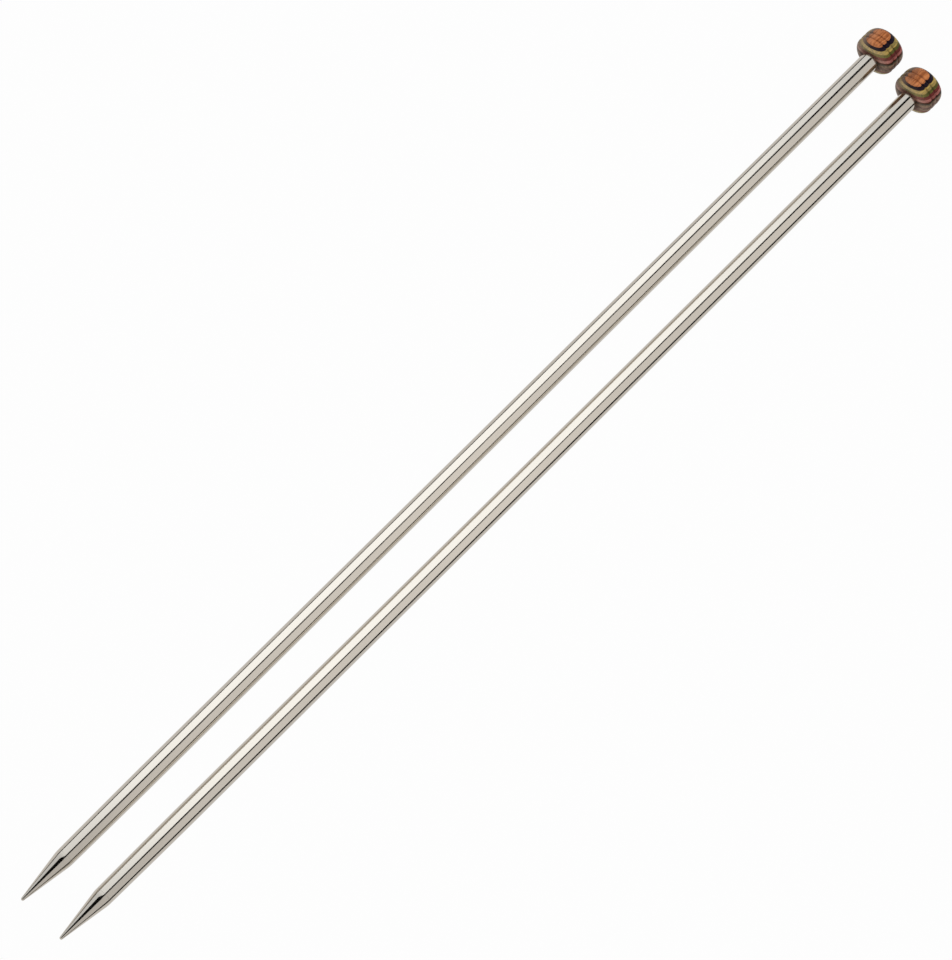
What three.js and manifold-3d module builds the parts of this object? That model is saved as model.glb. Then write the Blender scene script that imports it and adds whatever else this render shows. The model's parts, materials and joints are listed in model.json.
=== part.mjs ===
// A pair of straight knitting needles, lying side by side: nickel-plated hollow shafts, solid points, and
// turned knobs of dyed hardwood veneers. Millimetres, +Z up, points towards -X, knobs towards +X.
import * as THREE from "three";
import { mergeVertices } from "three/addons/utils/BufferGeometryUtils.js";
import Module from "manifold-3d";

const wasm = await Module();
wasm.setup();

// Whole needle
const NEEDLE_LENGTH = 300; // point to the end of the knob
const SHAFT_DIAMETER = 5;
const SHAFT_RADIUS = SHAFT_DIAMETER / 2;
const PAIR_SPACING = 12.92; // between the two axes at mid-length
const PAIR_FAN = THREE.MathUtils.degToRad(0.315); // the axes open by this towards the knobs
const ROUND_SEGMENTS = 32;
const GLUE_GAP = 0.04; // film of glue between bonded faces

// Point: a solid turned cone with a blunt nose, a rounded base and a spigot
const CONE_LENGTH = 13.6;
const CONE_BASE_RADIUS = 2.3;
const NOSE_RADIUS = 0.4;
const NOSE_STEPS = 2;
const BASE_ROUND = 1.6; // the cone's slope dies away over this last stretch
const BASE_STEPS = 3;
const SPIGOT_LENGTH = 10;

// Shaft: a thin tube, necked down onto the point
const WALL = 0.5;
const NECK_LENGTH = 30; // the tube swells from the cone's base to its full diameter over this length
const NECK_STEPS = 4;
const TAIL_IN_KNOB = 5.4;

// Knob: a rounded shoulder, a barrel with two grooves between three beads, and a flattened dome
const KNOB_LENGTH = 7.7;
const KNOB_RADIUS = 5.65;
const SHOULDER_REACH = 2.75;
const SHOULDER_POWER = 2.55;
const BARREL_START = 2.55;
const BARREL_END = 3.65;
const DOME_REACH = 4.08;
const DOME_POWER = 3.65;
const GROOVES = [2.65, 4.2]; // distances from the front of the knob
const GROOVE_DEPTH = 0.2;
const GROOVE_HALF_WIDTH = 0.62;
const BORE_DEPTH = TAIL_IN_KNOB + 0.1;

// Veneers: flat sheets that run along the needle, their faces turned this far from straight up
const GRAIN_TURN = THREE.MathUtils.degToRad(29);
// Each sheet's dye and the distance of its lower face from the needle's axis, from the top sheet down
const VENEERS = [
  ["orange", 5.05],
  ["navy", 4.42],
  ["yellow", 3.62],
  ["green", 2.95],
  ["crimson", 2.15],
  ["pink", 1.35],
  ["umber", 0.85],
  ["teal", 0.5],
  ["beige", -0.35],
  ["plum", -1.25],
  ["beige", -2],
  ["crimson", -2.7],
  ["green", -3.3],
  ["yellow", -4],
  ["navy", -4.7],
  ["orange", -KNOB_RADIUS - 1],
];
const DYES = {
  orange: 0xc86e3c,
  navy: 0x161a38,
  yellow: 0xa59646,
  green: 0x5f783c,
  crimson: 0x782832,
  pink: 0xaa5f5f,
  umber: 0x3c140a,
  teal: 0x1e3c3c,
  beige: 0x968773,
  plum: 0x644b4b,
};
const PLATING = 0xd8d0c4;

const plated = () => new THREE.MeshStandardMaterial({ color: PLATING, roughness: 0.18, metalness: 1 });
const dyed = (dye) => new THREE.MeshStandardMaterial({ color: DYES[dye], roughness: 0.35, metalness: 0 });

// A solid of revolution about +X from points [distance along the axis, radius].
function turned(profile) {
  const points = profile.map(([along, radius]) => new THREE.Vector2(radius, along));
  return new THREE.LatheGeometry(points, ROUND_SEGMENTS).rotateZ(-Math.PI / 2);
}

function solidOf(geometry) {
  const bare = geometry.clone();
  bare.deleteAttribute("normal");
  bare.deleteAttribute("uv");
  const merged = mergeVertices(bare, 1e-4);
  return new wasm.Manifold(
    new wasm.Mesh({
      numProp: 3,
      vertProperties: merged.attributes.position.array,
      triVerts: new Uint32Array(merged.index.array),
    }),
  );
}

function geometryOf(solid) {
  const mesh = solid.getMesh();
  const geometry = new THREE.BufferGeometry();
  geometry.setAttribute("position", new THREE.BufferAttribute(mesh.vertProperties, 3));
  geometry.setIndex(new THREE.BufferAttribute(mesh.triVerts, 1));
  geometry.computeVertexNormals();
  return geometry;
}

function named(name, geometry, material) {
  const mesh = new THREE.Mesh(geometry, material);
  mesh.name = name;
  return mesh;
}

// The point: nose on the axis at 0, straight cone, a base rounded along a parabola, then the spigot that goes
// into the tube.
function pointGeometry() {
  const slope = Math.atan2(CONE_BASE_RADIUS - NOSE_RADIUS, CONE_LENGTH - BASE_ROUND / 2 - NOSE_RADIUS);
  const profile = [];
  for (let i = 0; i <= NOSE_STEPS; i++) {
    const turn = (i / NOSE_STEPS) * (Math.PI / 2 - slope);
    profile.push([NOSE_RADIUS * (1 - Math.cos(turn)), NOSE_RADIUS * Math.sin(turn)]);
  }
  const spigotRadius = CONE_BASE_RADIUS - WALL - GLUE_GAP;
  for (let i = 0; i <= BASE_STEPS; i++) {
    const left = 1 - i / BASE_STEPS;
    const fall = (Math.tan(slope) * BASE_ROUND * left ** 2) / 2;
    profile.push([CONE_LENGTH - BASE_ROUND * left, CONE_BASE_RADIUS - fall]);
  }
  profile.push([CONE_LENGTH, spigotRadius]);
  profile.push([CONE_LENGTH + SPIGOT_LENGTH, spigotRadius]);
  profile.push([CONE_LENGTH + SPIGOT_LENGTH, 0]);
  return turned(profile);
}

// The tube: its radius rises along a quarter sine from the cone's base to full size, and its tail is open.
function shaftGeometry() {
  const start = CONE_LENGTH + GLUE_GAP;
  const end = NEEDLE_LENGTH - KNOB_LENGTH + TAIL_IN_KNOB;
  const outside = [];
  for (let i = 0; i <= NECK_STEPS; i++) {
    const share = i / NECK_STEPS;
    const rise = Math.sin((share * Math.PI) / 2);
    outside.push([start + share * NECK_LENGTH, CONE_BASE_RADIUS + (SHAFT_RADIUS - CONE_BASE_RADIUS) * rise]);
  }
  outside.push([end, SHAFT_RADIUS]);
  const inside = outside.map(([along, radius]) => [along, radius - WALL]).reverse();
  return turned([...outside, ...inside, outside[0]]);
}

// The knob's radius at a distance from its front: superellipse shoulder and dome, less the cusped grooves.
function knobRadius(along) {
  const shoulder = Math.max(0, BARREL_START - along) / SHOULDER_REACH;
  const dome = Math.max(0, along - BARREL_END) / DOME_REACH;
  const shoulderShare = (1 - shoulder ** SHOULDER_POWER) ** (1 / SHOULDER_POWER);
  const domeShare = (1 - dome ** DOME_POWER) ** (1 / DOME_POWER);
  let cut = 0;
  for (const groove of GROOVES) {
    cut += GROOVE_DEPTH * Math.max(0, 1 - Math.abs(along - groove) / GROOVE_HALF_WIDTH) ** 2;
  }
  return KNOB_RADIUS * Math.min(shoulderShare, domeShare) - cut;
}

function knobSolid() {
  const [first, second] = GROOVES;
  const flank = GROOVE_HALF_WIDTH / 2;
  const shoulder = [0, 0.12, 0.4, 0.8, 1.35, first - GROOVE_HALF_WIDTH];
  const firstGroove = [first - flank, first, first + flank];
  const bead = (first + second) / 2;
  const secondGroove = [second - flank, second, second + flank];
  const dome = [second + GROOVE_HALF_WIDTH, 5.6, 6.3, 6.9, 7.3, 7.55, KNOB_LENGTH];
  const stations = [...shoulder, ...firstGroove, bead, ...secondGroove, ...dome];
  const outside = stations.map((along) => [along, knobRadius(along)]);
  const boreRadius = SHAFT_RADIUS + GLUE_GAP;
  const bore = [[BORE_DEPTH, 0], [BORE_DEPTH, boreRadius], [0, boreRadius]];
  return solidOf(turned([...bore, ...outside, [KNOB_LENGTH, 0]]));
}

// A slab of the veneer stack between two distances from the axis, wide enough to pass the whole knob.
function sheetSolid(lower, upper) {
  const width = 4 * KNOB_RADIUS;
  const sheet = new THREE.BoxGeometry(width, width, upper - lower - GLUE_GAP);
  sheet.translate(KNOB_LENGTH / 2, 0, (upper + lower) / 2);
  sheet.rotateX(-GRAIN_TURN);
  return solidOf(sheet);
}

function knobVeneers(needleName) {
  const knob = knobSolid();
  let upper = KNOB_RADIUS + 1;
  return VENEERS.map(([dye, lower], i) => {
    const sheet = sheetSolid(lower, upper);
    upper = lower;
    const name = `${needleName}_veneer_${String(i + 1).padStart(2, "0")}_${dye}`;
    const veneer = named(name, geometryOf(knob.intersect(sheet)), dyed(dye));
    veneer.position.x = NEEDLE_LENGTH - KNOB_LENGTH;
    return veneer;
  });
}

// One needle, its axis along +X with the point at the origin.
function needle(name) {
  const group = new THREE.Group();
  group.add(named(`${name}_point`, pointGeometry(), plated()));
  group.add(named(`${name}_shaft`, shaftGeometry(), plated()));
  group.add(...knobVeneers(name));
  return group;
}

// A needle lies on the knob's middle bead and on the base of its point.
function restingTilt() {
  const knobContact = NEEDLE_LENGTH - KNOB_LENGTH + GROOVES[0] + GROOVE_HALF_WIDTH;
  return Math.atan2(KNOB_RADIUS - CONE_BASE_RADIUS, knobContact - CONE_LENGTH);
}

function laidNeedle(name, side) {
  const group = needle(name);
  group.position.x = -NEEDLE_LENGTH / 2;
  const tilted = new THREE.Group();
  tilted.add(group);
  tilted.rotation.y = -restingTilt();
  const fanned = new THREE.Group();
  fanned.add(tilted);
  fanned.rotation.z = (side * PAIR_FAN) / 2;
  fanned.position.y = (side * PAIR_SPACING) / 2;
  return fanned;
}

const pair = new THREE.Group();
pair.add(laidNeedle("needle_1", 1));
pair.add(laidNeedle("needle_2", -1));

// The origin is under the middle of the pair, on the surface that it lies on.
const extent = new THREE.Box3().setFromObject(pair, true);
const middle = extent.getCenter(new THREE.Vector3());
for (const laid of pair.children) {
  laid.position.x -= middle.x;
  laid.position.y -= middle.y;
  laid.position.z -= extent.min.z;
}

export default pair;
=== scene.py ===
import json
import math

import bpy
import numpy as np
from mathutils import Matrix


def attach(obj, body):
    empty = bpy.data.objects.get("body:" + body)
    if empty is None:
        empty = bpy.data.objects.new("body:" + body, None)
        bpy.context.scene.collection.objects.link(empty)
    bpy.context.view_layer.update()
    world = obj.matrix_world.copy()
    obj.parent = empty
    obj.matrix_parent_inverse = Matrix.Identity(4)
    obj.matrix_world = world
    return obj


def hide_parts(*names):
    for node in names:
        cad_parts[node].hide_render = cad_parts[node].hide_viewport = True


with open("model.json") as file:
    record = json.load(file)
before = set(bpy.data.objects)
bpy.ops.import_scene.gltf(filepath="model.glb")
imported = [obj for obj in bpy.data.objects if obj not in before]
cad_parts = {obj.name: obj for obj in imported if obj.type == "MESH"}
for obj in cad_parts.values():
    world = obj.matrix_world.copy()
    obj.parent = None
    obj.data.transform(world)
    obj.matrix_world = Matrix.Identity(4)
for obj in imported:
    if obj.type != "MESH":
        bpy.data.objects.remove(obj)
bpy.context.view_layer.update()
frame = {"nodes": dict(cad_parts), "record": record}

# Needle axes. Each needle is one straight rod that ends in a small turned flat on its knob. The record
# gives that flat as a mount, and its centre and direction are the axis that every piece is turned about.
MM = 0.001
STOCK_STEP = 37.0  # how much further along the same lengths of wood and tube the next needle was cut


class Needle:
    """A needle's own directions: along it from nose to knob, sideways, and up square to both."""

    def __init__(self, name, flat, stock):
        self.name = name
        self.stock = stock
        self.nodes = frame["record"]["behaviour"]["bodies"][name]
        self.along = np.array(flat["axis"]) / np.linalg.norm(flat["axis"])
        side = np.cross((0.0, 0.0, 1.0), self.along)
        self.side = side / np.linalg.norm(side)
        self.up = np.cross(self.along, self.side)
        self.nose = np.array(flat["pos_m"])
        self.length = -self.corners(f"{name}_point")[:, 0].min()
        self.nose = self.nose - self.along * self.length * MM

    def corners(self, node):
        """A CAD node's corners in millimetres along, sideways and up from the nose."""
        mesh = frame["nodes"][node].data
        flat_list = np.empty(len(mesh.vertices) * 3)
        mesh.vertices.foreach_get("co", flat_list)
        return (flat_list.reshape(-1, 3) - self.nose) / MM @ np.stack([self.along, self.side, self.up], 1)

    def placed(self, points):
        """Points in millimetres along, sideways and up from the nose, moved to the row frame."""
        return self.nose + points * MM @ np.stack([self.along, self.side, self.up])


flats = {mount["name"]: mount for mount in frame["record"]["mounts"]}
needles = [Needle(f"needle_{i}", flats[f"knob_{i}_end"], i * STOCK_STEP) for i in (1, 2)]


# Points. A turned brass cone with a blunt nose and a spigot pushed into the tube, then nickel plated and
# buffed to a mirror with the shaft.
NOSE_RADIUS = 0.4
BASE_ROUND = 1.6  # the cone's slope dies away over this last stretch
NOSE_STEPS = 12
CONE_STEPS = 24
BASE_STEPS = 12
ROUND_STEPS = 128  # sides of every turned circle
SMOOTH_BELOW = math.radians(35)  # edges sharper than this stay crisp
WELD_GRID = 1e5  # corners that agree to this part of a millimetre are one corner
LEVEL = 0.01  # CAD corners this near in millimetres count as level
CLEAR_OF_BASE = 1.0  # this far past the cone's base there is only the spigot
NICKEL = (0.64, 0.595, 0.525, 1)
NICKEL_SHADE = (0.59, 0.545, 0.475, 1)
BUFFED_ROUGHNESS = 0.06
RING_STRETCH = (9.0, 0.6, 0.6)  # along the needle and across it
CLOUD_STRETCH = (0.08, 0.35, 0.35)


class Wire:
    """One socket in a material. Sums, differences and products of wires and numbers add Math nodes."""

    def __init__(self, tree, socket=None):
        self.tree = tree
        self.socket = socket

    def node(self, kind, settings=None, sockets=None, out=0):
        """A new node's output: its settings go in first, then its sockets' values or wires."""
        made = self.tree.nodes.new(kind)
        for name, value in (settings or {}).items():
            setattr(made, name, value)
        for name, value in (sockets or {}).items():
            if isinstance(value, Wire):
                self.tree.links.new(value.socket, made.inputs[name])
            else:
                made.inputs[name].default_value = value
        return Wire(self.tree, made.outputs[out])

    def maths(self, operation, *terms):
        """A Math node on wires and numbers."""
        return self.node("ShaderNodeMath", {"operation": operation}, dict(enumerate(terms)))

    def __add__(self, other):
        return self.maths("ADD", self, other)

    __radd__ = __add__

    def __sub__(self, other):
        return self.maths("SUBTRACT", self, other)

    def __rsub__(self, other):
        return self.maths("SUBTRACT", other, self)

    def __mul__(self, other):
        return self.maths("MULTIPLY", self, other)

    __rmul__ = __mul__


def new_finish(name, **constants):
    """A material, its wire to start from and its shader, with the constants set on the shader."""
    material = bpy.data.materials.new(name)
    material.use_nodes = True
    shader = material.node_tree.nodes["Principled BSDF"]
    for socket, value in constants.items():
        shader.inputs[socket.replace("_", " ")].default_value = value
    return material, Wire(material.node_tree), shader


def feed(wire, shader, socket):
    """Joins a wire to one of the shader's sockets, by its name."""
    wire.tree.links.new(wire.socket, shader.inputs[socket])


def mixed(share, first, second, blend="MIX"):
    """Two colours mixed by a share between 0 and 1."""
    settings = {"data_type": "RGBA", "blend_type": blend}
    return share.node("ShaderNodeMix", settings, {0: share, 6: first, 7: second}, out=2)


def spot_on_needle(start, stretch=(1, 1, 1)):
    """The place on the needle in millimetres from its nose, each axis multiplied by its stretch."""
    spot = start.node("ShaderNodeAttribute", {"attribute_name": "from_nose"}, out="Vector")
    return start.node("ShaderNodeVectorMath", {"operation": "MULTIPLY"}, {0: spot, 1: stretch})


def plated_finish(name):
    """Polished nickel: fine rings left by the buffing wheel, and a faint cloudiness along the rod."""
    material, start, shader = new_finish(name, Metallic=1.0)
    ring_spot = spot_on_needle(start, RING_STRETCH)
    rings = start.node("ShaderNodeTexNoise", None, {"Vector": ring_spot, "Scale": 1.0, "Detail": 3.0})
    cloud_spot = spot_on_needle(start, CLOUD_STRETCH)
    clouds = start.node("ShaderNodeTexNoise", None, {"Vector": cloud_spot, "Scale": 1.0, "Detail": 2.0})
    feed(mixed(clouds * 0.6, NICKEL, NICKEL_SHADE), shader, "Base Color")
    feed(rings * 0.05 + clouds * 0.04 + BUFFED_ROUGHNESS, shader, "Roughness")
    bump = start.node("ShaderNodeBump", None, {"Strength": 0.04, "Distance": 0.00002, "Height": rings})
    feed(bump, shader, "Normal")
    return material


def piece_from(name, needle, points, triangles, material, **marks):
    """A mesh from millimetre points on a needle, welded where corners meet. Marks are its attributes."""
    keys = np.round(points * WELD_GRID).astype(np.int64)
    _, first, where = np.unique(keys, axis=0, return_index=True, return_inverse=True)
    triangles = where.reshape(-1)[triangles]
    whole = (triangles != np.roll(triangles, 1, 1)).all(1)
    triangles, points = triangles[whole], points[first]
    mesh = bpy.data.meshes.new(name)
    mesh.from_pydata(needle.placed(points), [], triangles)
    spots = mesh.attributes.new("from_nose", "FLOAT_VECTOR", "POINT")
    spots.data.foreach_set("vector", (points + (needle.stock, 0, 0)).ravel())
    for mark, values in marks.items():
        mesh.attributes.new(mark, "FLOAT", "POINT").data.foreach_set("value", values[first])
    mesh.polygons.foreach_set("use_smooth", [True] * len(triangles))
    mesh.set_sharp_from_angle(angle=SMOOTH_BELOW)
    mesh.materials.append(material)
    piece = bpy.data.objects.new(name, mesh)
    bpy.context.scene.collection.objects.link(piece)
    return piece


def skinned(rings):
    """The points and triangles of a closed skin over rings that each have the same number of points. The
    first and last rings are either poles or the same ring twice, so the skin closes once it is welded."""
    rows, columns = rings.shape[:2]
    row, column = np.meshgrid(np.arange(rows - 1), np.arange(columns), indexing="ij")
    here, beside = row * columns + column, row * columns + (column + 1) % columns
    ahead, across = here + columns, beside + columns
    halves = [np.stack([here, ahead, across], -1), np.stack([here, across, beside], -1)]
    return rings.reshape(-1, 3), np.concatenate(halves).reshape(-1, 3)


def turned(profile):
    """A solid of revolution: each profile point (distance along, radius) goes round the axis."""
    turn = np.arange(ROUND_STEPS) * 2 * math.pi / ROUND_STEPS
    along, radius = profile[:, :1], profile[:, 1:]
    rings = [along + 0 * turn, radius * np.cos(turn), radius * np.sin(turn)]
    return skinned(np.stack(rings, -1))


def arc(centre, radius, start, end):
    """Points round a centre (distance along, radius) from one angle to another, in degrees."""
    turn = np.radians(np.linspace(start, end, NOSE_STEPS))
    return np.array(centre) + radius * np.stack([np.cos(turn), np.sin(turn)], 1)


plated_point = plated_finish("nickel_plated_point")
for needle in needles:
    node = f"{needle.name}_point"
    corners = needle.corners(node)
    radii = np.hypot(corners[:, 1], corners[:, 2])
    base = radii.max()
    cone_length = corners[radii > base - LEVEL, 0].max()
    spigot_radius = radii[corners[:, 0] > cone_length + CLEAR_OF_BASE].max()
    rise = (base - NOSE_RADIUS) / (cone_length - BASE_ROUND / 2 - NOSE_RADIUS)
    nose = arc((NOSE_RADIUS, 0), NOSE_RADIUS, 180, 90 + math.degrees(math.atan(rise)))
    cone = np.linspace(nose[-1], (cone_length - BASE_ROUND, base - rise * BASE_ROUND / 2), CONE_STEPS)
    left = BASE_ROUND * np.linspace(1, 0, BASE_STEPS)
    rounded = np.stack([cone_length - left, base - rise * left**2 / BASE_ROUND / 2], 1)
    spigot_end = corners[:, 0].max()
    spigot = [(cone_length, spigot_radius), (spigot_end, spigot_radius), (spigot_end, 0)]
    point_skin = turned(np.vstack([nose, cone[1:-1], rounded, spigot]))
    point = piece_from(node + "_plated", needle, *point_skin, plated_point)
    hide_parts(node)
    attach(point, needle.name)


# Shafts. Thin brass tube, swaged down over the point's spigot and swelling to full size along the neck,
# nickel plated and buffed. The tail is open and is glued into the knob's bore.
WALL = 0.5
NECK_LENGTH = 30
NECK_STEPS = 40

plated_tube = plated_finish("nickel_plated_tube")
for needle in needles:
    node = f"{needle.name}_shaft"
    corners = needle.corners(node)
    radii = np.hypot(corners[:, 1], corners[:, 2])
    front, tail = corners[:, 0].min(), corners[:, 0].max()
    front_radius = radii[corners[:, 0] < front + LEVEL].max()
    share = np.linspace(0, 1, NECK_STEPS)
    swell = front_radius + (radii.max() - front_radius) * np.sin(share * math.pi / 2)
    outside = np.vstack([np.stack([front + share * NECK_LENGTH, swell], 1), [(tail, radii.max())]])
    inside = outside[::-1] - (0, WALL)
    shaft_skin = turned(np.vstack([outside, inside, outside[:1]]))
    shaft = piece_from(node + "_plated", needle, *shaft_skin, plated_tube)
    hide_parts(node)
    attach(shaft, needle.name)


# Knobs. Sheets of dyed hardwood veneer are glued into a block, which is bored for the shaft, turned to a
# rounded knob with two fine grooves, and lacquered. The sheets run along the needle, turned from level. The
# bore isn't cut here, so the shaft's tail runs hidden inside whole sheets.
GRAIN_TURN = math.radians(29)
SHOULDER_REACH, SHOULDER_POWER, BARREL_START = 2.75, 2.55, 2.55
DOME_REACH, DOME_POWER, BARREL_END = 4.08, 3.65, 3.65
GROOVES = (2.65, 4.2)  # from the knob's front
GROOVE_DEPTH = 0.2
GROOVE_HALF_WIDTH = 0.62
GLUE = 0.02  # half the film of glue between two sheets
STATIONS = 84
EDGE_STEPS = 16  # points along each turned edge of a sheet
FACE_STEPS = 10  # points across each glued face
PROBES = 2001  # places tried along the knob to find where a sheet starts and ends
SLIVER = 1e-6
# Each dye's light and dark fibres, then how strongly the painted sheen greys it on the side towards the key
# panel, and how pale on its end grain
DYES = {
    "orange": ((0.60, 0.215, 0.075, 1), (0.27, 0.078, 0.020, 1), 0.45, 0.4),
    "navy": ((0.003, 0.004, 0.011, 1), (0.012, 0.004, 0.010, 1), 0.85, 0.12),
    "yellow": ((0.50, 0.335, 0.085, 1), (0.23, 0.170, 0.053, 1), 0.5, 0.9),
    "green": ((0.18, 0.145, 0.026, 1), (0.065, 0.064, 0.012, 1), 0.6, 0.5),
    "crimson": ((0.19, 0.030, 0.026, 1), (0.075, 0.014, 0.010, 1), 0.85, 0.4),
    "pink": ((0.42, 0.150, 0.130, 1), (0.23, 0.068, 0.058, 1), 0.8, 0.8),
    "umber": ((0.075, 0.016, 0.005, 1), (0.035, 0.009, 0.003, 1), 0.5, 0.25),
    "teal": ((0.070, 0.048, 0.030, 1), (0.024, 0.034, 0.026, 1), 0.5, 0.3),
    "beige": ((0.27, 0.175, 0.115, 1), (0.11, 0.074, 0.048, 1), 0.3, 0.2),
    "plum": ((0.20, 0.115, 0.090, 1), (0.085, 0.048, 0.037, 1), 0.3, 0.2),
}
END_GRAIN_TONE = (0.40, 0.32, 0.235, 1)
# Painted sheen: the side of a knob towards the key panel is greyed towards this tone, as if it reflected
# the panel.
SHEEN_VEIL_TONE = (0.17, 0.115, 0.085, 1)
VEIL_START, VEIL_END = 2.4, 4.8  # sideways from the axis, over which the painted sheen comes in
GLUE_AND_SHADE_TONE = (0.34, 0.24, 0.2, 1)  # how far a glued face darkens each colour, and the painted shade in a groove or round the bore's mouth
FILM_REACH = 0.07  # how far the glue's darkness spreads from a face
BORE_SHADE_REACH = 0.22  # how far the painted shade at the bore's mouth spreads
FIBRE_STRETCH = (0.5, 4.0, 4.0)
STREAK_STRETCH = (0.28, 1.7, 1.7)


def knob_radius(along, full):
    """Superellipse shoulder and dome either side of the barrel, less two cusps for the grooves."""
    shoulder = np.clip(BARREL_START - along, 0, None) / SHOULDER_REACH
    dome = np.clip(along - BARREL_END, 0, None) / DOME_REACH
    shoulder_share = (1 - shoulder**SHOULDER_POWER) ** (1 / SHOULDER_POWER)
    dome_share = (1 - dome**DOME_POWER) ** (1 / DOME_POWER)
    return full * np.minimum(shoulder_share, dome_share) - groove_cut(along)


def groove_cut(along):
    """How deep the turning tool went: each groove falls to its cusp as the square of the nearness."""
    nearness = 1 - np.abs(along[..., None] - np.array(GROOVES)) / GROOVE_HALF_WIDTH
    return GROOVE_DEPTH * (np.clip(nearness, 0, None) ** 2).sum(-1)


def sheet_skin(lower, upper, full, length):
    """A veneer of the knob between two heights above the axis. At each station along the knob its section
    is a disc of the knob's radius cut by both heights: up one turned edge, across the upper glued face,
    down the other edge and back across the lower face."""
    probe = np.linspace(0, length, PROBES)
    deepest = max(lower, -upper, 0)
    there = probe[knob_radius(probe, full) > deepest + SLIVER]
    share = (1 - np.cos(np.linspace(0, math.pi, STATIONS))) / 2
    along = there[0] + (there[-1] - there[0]) * share
    for groove in GROOVES:
        if there[0] < groove < there[-1]:
            along[np.abs(along - groove).argmin()] = groove
    radius = knob_radius(along, full)[:, None]
    low, high = np.clip(lower, -radius, radius), np.clip(upper, -radius, radius)
    low_turn, high_turn = np.arcsin(low / radius), np.arcsin(high / radius)
    share = np.linspace(0, 1, EDGE_STEPS)
    turn = low_turn + (high_turn - low_turn) * share
    edge_out, edge_up = radius * np.cos(turn), radius * np.sin(turn)
    across = np.linspace(1, -1, FACE_STEPS)[1:-1]
    top_out, bottom_out = edge_out[:, -1:] * across, -edge_out[:, :1] * across
    out = np.hstack([edge_out, top_out, -edge_out[:, ::-1], bottom_out])
    up = np.hstack([edge_up, high + 0 * across, edge_up[:, ::-1], low + 0 * across])
    loops = np.stack([np.broadcast_to(along[:, None], out.shape), out, up], -1)
    front, back = (loops[i] * 0 + loops[i].mean(0) for i in (0, -1))
    return skinned(np.concatenate([[front], loops, [back]]))


def dyed_finish(dye):
    """Dyed veneer under lacquer: long fibres in the dye's own light and dark, a few strong streaks, paler
    end grain at the front, a painted sheen greying the side towards the key panel, painted shade in the
    grooves and round the bore's mouth, and darker glue at the glued faces."""
    material, start, shader = new_finish("dyed_" + dye, Coat_Weight=0.12, Coat_Roughness=0.12)
    shader.inputs["Specular IOR Level"].default_value = 0.04
    full_tone, deep_tone, veil_share, pale = DYES[dye]
    fibre_spot = spot_on_needle(start, FIBRE_STRETCH)
    fibres = start.node("ShaderNodeTexNoise", None, {"Vector": fibre_spot, "Scale": 1.0, "Detail": 4.0})
    streak_spot = spot_on_needle(start, STREAK_STRETCH)
    noise = {"Vector": streak_spot, "Scale": 1.0, "Distortion": 0.6}
    streaks = start.node("ShaderNodeTexNoise", None, noise)
    span = {"Value": streaks, "From Min": 0.36, "From Max": 0.64}
    streaks = streaks.node("ShaderNodeMapRange", None, span)
    near_glue, groove_shade, end_grain, rim = (
        start.node("ShaderNodeAttribute", {"attribute_name": mark}, out="Fac")
        for mark in ("near_glue", "groove_shade", "end_grain", "rim")
    )
    film = near_glue.node("ShaderNodeMapRange", None, {"Value": near_glue, "From Max": FILM_REACH})
    tone = mixed(streaks, full_tone, deep_tone)
    tone = mixed((fibres * 1.8 - 0.6) * 0.6, tone, deep_tone)
    # Painted sheen: towards the key panel's side the colour is greyed, as if the lacquer reflected the
    # panel.
    spot = spot_on_needle(start)
    aside = spot.node("ShaderNodeSeparateXYZ", None, {0: spot}, out=1)
    span = {"Value": aside, "From Min": VEIL_START, "From Max": VEIL_END}
    sheen_side = aside.node("ShaderNodeMapRange", None, span)
    tone = mixed(sheen_side * veil_share, tone, SHEEN_VEIL_TONE)
    tone = mixed(end_grain * pale * (fibres * 0.8 + 0.2), tone, END_GRAIN_TONE)
    # Painted shade in the grooves and round the bore's mouth, and darker glue at the glued faces,
    # multiplied in.
    tone = mixed(groove_shade * 0.6 + rim * 0.9 + (1 - film) * 0.3, tone, GLUE_AND_SHADE_TONE, "MULTIPLY")
    feed(tone, shader, "Base Color")
    feed(fibres * 0.2 + 0.3, shader, "Roughness")
    bump = start.node("ShaderNodeBump", None, {"Strength": 0.12, "Distance": 0.00003, "Height": fibres})
    feed(bump, shader, "Normal")
    return material


dye_finishes = {dye: dyed_finish(dye) for dye in DYES}
grain_turn = np.array([
    (math.cos(GRAIN_TURN), -math.sin(GRAIN_TURN)),
    (math.sin(GRAIN_TURN), math.cos(GRAIN_TURN)),
])
for needle in needles:
    sheets = [node for node in needle.nodes if "_veneer_" in node]
    block = np.vstack([needle.corners(node) for node in sheets])
    front, full = block[:, 0].min(), np.hypot(block[:, 1], block[:, 2]).max()
    heights = [needle.corners(n) @ (0, math.sin(GRAIN_TURN), math.cos(GRAIN_TURN)) for n in sheets]
    for sheet, height in zip(sheets, heights):
        lower = -full if sheet == sheets[-1] else height.min() - GLUE
        upper = full if sheet == sheets[0] else height.max() + GLUE
        points, triangles = sheet_skin(lower, upper, full, needle.length - front)
        glued = [abs(points[:, 2] - face) for face in (lower, upper) if abs(face) < full]
        # The groove's depth here, which sets the painted shade in the grooves.
        groove_shade = groove_cut(points[:, 0]) / GROOVE_DEPTH
        shoulder = np.clip(BARREL_START - points[:, 0], 0, None) / SHOULDER_REACH
        laid = np.column_stack([points[:, 0] + front, points[:, 1:] @ grain_turn])
        dye = sheet.split("_")[-1]
        # Painted shade round the bore's mouth, where the shaft goes into the knob.
        rim = np.clip(1 - points[:, 0] / BORE_SHADE_REACH, 0, None)
        marks = {"near_glue": np.min(glued, axis=0), "groove_shade": groove_shade, "end_grain": shoulder**2, "rim": rim}
        veneer = piece_from(sheet + "_turned", needle, laid, triangles, dye_finishes[dye], **marks)
        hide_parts(sheet)
        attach(veneer, needle.name)
        "dyed_" + dye


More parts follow.
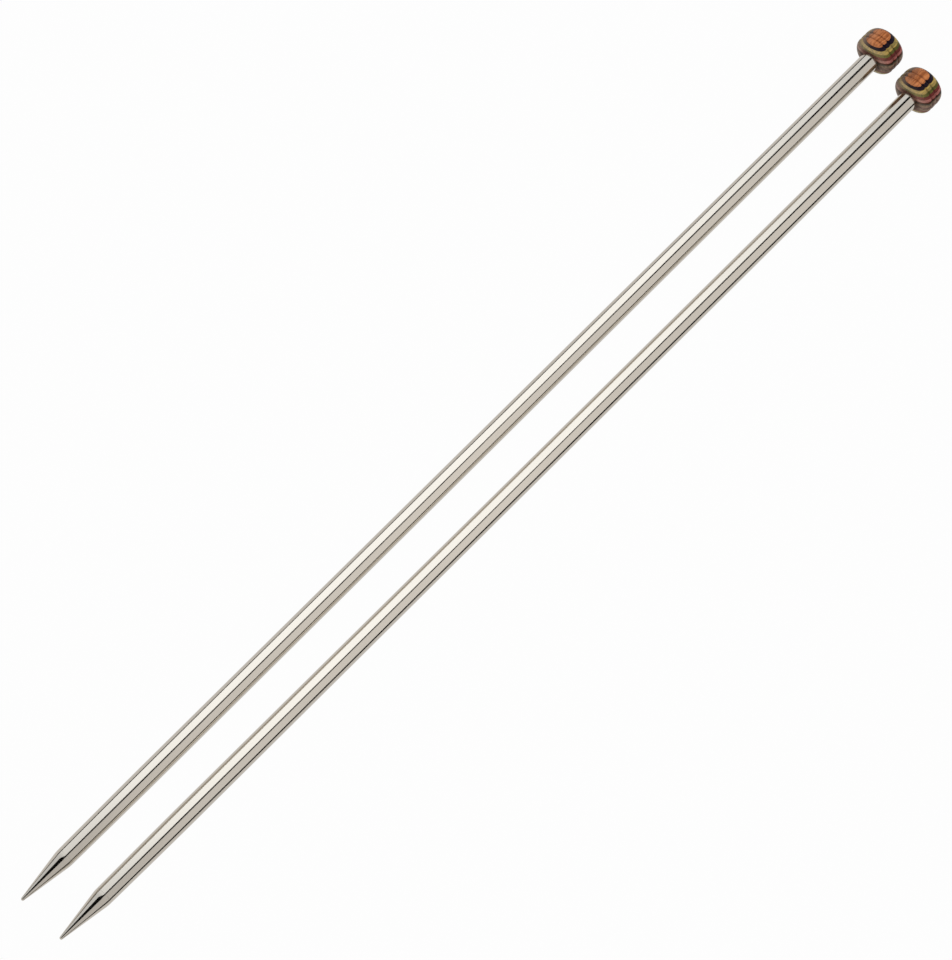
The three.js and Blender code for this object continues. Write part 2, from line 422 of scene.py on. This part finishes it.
# The studio. A white floor that glows evenly, a pale tent, a long bright panel on one side of the needles
# and a dimmer one on the other, and black flags that draw the dark lines in the polished metal. Places are
# in metres along the needles, widths in degrees round them, and each glow is a share of plain white.
FLOOR_SIZE = 6.0
FLOOR_DROP = 0.0004  # below the needles, with the cloths halfway
FLOOR_GLOW = 0.985
FLOOR_GREY = 0.79  # what the underside of a needle sees
TENT_RADIUS = 0.6
FLAG_RADIUS = 0.55
TENT_TONE = (0.985, 0.985, 0.985, 1)
KEY_TONE = (0.97, 1.0, 1.04, 1)
FILL_TONE = (1.0, 0.985, 0.98, 1)
BLACK = (0, 0, 0, 1)
ARC_STEPS = 9


def stage_sheet(name, points, quads, tone, glow):
    """A thin sheet of the studio's own, in one tone. Its glow at each corner is 0 for black cloth."""
    mesh = bpy.data.meshes.new(name)
    mesh.from_pydata(points, [], quads)
    shine = np.outer(glow, tone)
    shine[:, 3] = 1
    mesh.attributes.new("light", "FLOAT_COLOR", "POINT").data.foreach_set("color", shine.ravel())
    plain = {"Base_Color": BLACK, "Specular_IOR_Level": 0.0, "Emission_Strength": 1.0}
    material, start, shader = new_finish(name, **plain)
    light = start.node("ShaderNodeAttribute", {"attribute_name": "light"}, out="Color")
    feed(light, shader, "Emission Color")
    mesh.materials.append(material)
    sheet = bpy.data.objects.new(name, mesh)
    bpy.context.scene.collection.objects.link(sheet)
    return sheet


def tent_strip(name, along, start, end, glow, tone=BLACK, reach=TENT_RADIUS):
    """A strip bent round the X axis. At each distance along X it spans two angles from overhead, which
    grow towards the -Y side, and glows as the list says."""
    along, start, end, glow = np.broadcast_arrays(along, start, end, glow)
    turn = np.radians(np.linspace(start, end, ARC_STEPS, axis=1))
    distance = np.broadcast_to(along[:, None], turn.shape)
    points = np.stack([distance, reach * np.sin(-turn), reach * np.cos(turn)], -1)
    row, column = np.meshgrid(np.arange(len(along) - 1), np.arange(ARC_STEPS - 1), indexing="ij")
    corner = (row * ARC_STEPS + column).reshape(-1, 1)
    quads = corner + (0, 1, ARC_STEPS + 1, ARC_STEPS)
    strip = stage_sheet(name, points.reshape(-1, 3), quads, tone, np.repeat(glow, ARC_STEPS))
    strip.visible_camera = False
    strip.visible_diffuse = strip.visible_shadow = bool(glow.any())


def floor_sheet(name, low, high, height, glow, tone):
    """A flat sheet on the floor between two corners."""
    around = (low, (high[0], low[1]), high, (low[0], high[1]))
    corners = [(*corner, height) for corner in around]
    return stage_sheet(name, corners, [(0, 1, 2, 3)], tone, [glow] * 4)


half = FLOOR_SIZE / 2
floor_sheet("floor", (-half, -half), (half, half), -FLOOR_DROP, FLOOR_GLOW, (1, 1, 1, 1))
cloths = {
    "grey_cloth": ((-0.16, -0.066), (0.75, 0.066), FLOOR_GREY),
    "key_cloth": ((-0.45, 0.066), (0.75, 0.6), 0),
    "fill_cloth": ((-0.45, -0.6), (0.75, -0.066), 0),
    "nose_cloth": ((-1.0, -0.3), (-0.165, 0.3), 0),
}
for name, (low, high, glow) in cloths.items():
    cloth = floor_sheet(name, low, high, -FLOOR_DROP / 2, glow, FILL_TONE)
    cloth.visible_camera = cloth.visible_diffuse = cloth.visible_shadow = False

world = bpy.data.worlds.new("tent")
world.use_nodes = True
world.node_tree.nodes["Background"].inputs["Color"].default_value = TENT_TONE
bpy.context.scene.world = world

key_along = (-0.45, -0.20, -0.10, -0.08, -0.05, 0.00, 0.05, 0.25, 0.30, 0.36, 0.405, 0.45, 0.75)
key_glow = (0.78, 0.82, 1.05, 1.21, 1.44, 1.52, 1.56, 1.54, 1.50, 1.32, 1.09, 0.92, 0.87)
tent_strip("key_panel", key_along, -84, -10, key_glow, KEY_TONE)
fill_along = (-0.45, -0.10, -0.05, 0.00, 0.17, 0.25, 0.36, 0.45, 0.75)
fill_glow = (0.66, 0.70, 0.84, 0.90, 1.02, 0.90, 0.92, 0.78, 0.76)
tent_strip("fill_panel", fill_along, -10, 88, fill_glow, FILL_TONE)
slot_along = (-0.45, -0.05, 0.00, 0.09, 0.18, 0.226, 0.272, 0.32, 0.364, 0.41, 0.75)
slot_middle = np.array((-2, -2, -2, -3, -4, -4.5, -6, -8, -10, -12, -12))
slot_width = np.array((15, 15, 11.5, 11.2, 9.5, 10.8, 14, 15, 17, 23, 24))
slot_start, slot_end = slot_middle - slot_width / 2, slot_middle + slot_width / 2
tent_strip("slot_flag", slot_along, slot_start, slot_end, 0, reach=FLAG_RADIUS)
edge_along = (-0.45, -0.08, 0.00, 0.09, 0.23, 0.41, 0.75)
edge_width = np.array((9.5, 9.5, 8, 6.2, 6.8, 8, 8))
tent_strip("key_edge_flag", edge_along, -91, -91 + edge_width, 0, reach=FLAG_RADIUS)
tent_strip("fill_edge_flag", (-0.45, 0.75), 75, 91, 0, reach=FLAG_RADIUS)
tent_strip("end_flag", (-0.45, -0.24, -0.12), (-35, -35, -9), (8, 8, 3), 0, reach=FLAG_RADIUS)
wall = [(-0.45, -0.05, 0.08), (-0.45, 0.05, 0.08), (-0.45, 0.05, 0.45), (-0.45, -0.05, 0.45)]
end_cloth = stage_sheet("end_cloth", wall, [(0, 1, 2, 3)], BLACK, [0] * 4)
end_cloth.visible_camera = end_cloth.visible_diffuse = end_cloth.visible_shadow = False
bpy.context.scene.view_settings.view_transform = "Standard"


# The camera. It looks down on the pair from the points' end, turned so that the needles run from corner
# to corner of the frame.
LOOK_AT = (-0.00767, 0.00153, 0.004)
VIEW_TILT = math.radians(17)  # from straight down
VIEW_ROLL = math.radians(44.651)
VIEW_DISTANCE = 0.65815
LENS = 104.968
SENSOR = 36

ahead = np.array([math.sin(VIEW_TILT), 0, -math.cos(VIEW_TILT)])
rise = np.array([math.cos(VIEW_TILT), 0, math.sin(VIEW_TILT)])
right = math.cos(VIEW_ROLL) * rise + math.sin(VIEW_ROLL) * np.array([0, -1, 0])
camera_data = bpy.data.cameras.new("camera")
camera_data.lens, camera_data.sensor_width = LENS, SENSOR
camera = bpy.data.objects.new("camera", camera_data)
turn = np.stack([right, np.cross(-ahead, right), -ahead], 1)
place = np.array(LOOK_AT) - VIEW_DISTANCE * ahead
camera.matrix_world = Matrix(np.vstack([np.column_stack([turn, place]), (0, 0, 0, 1)]))
bpy.context.scene.collection.objects.link(camera)
bpy.context.scene.camera = camera
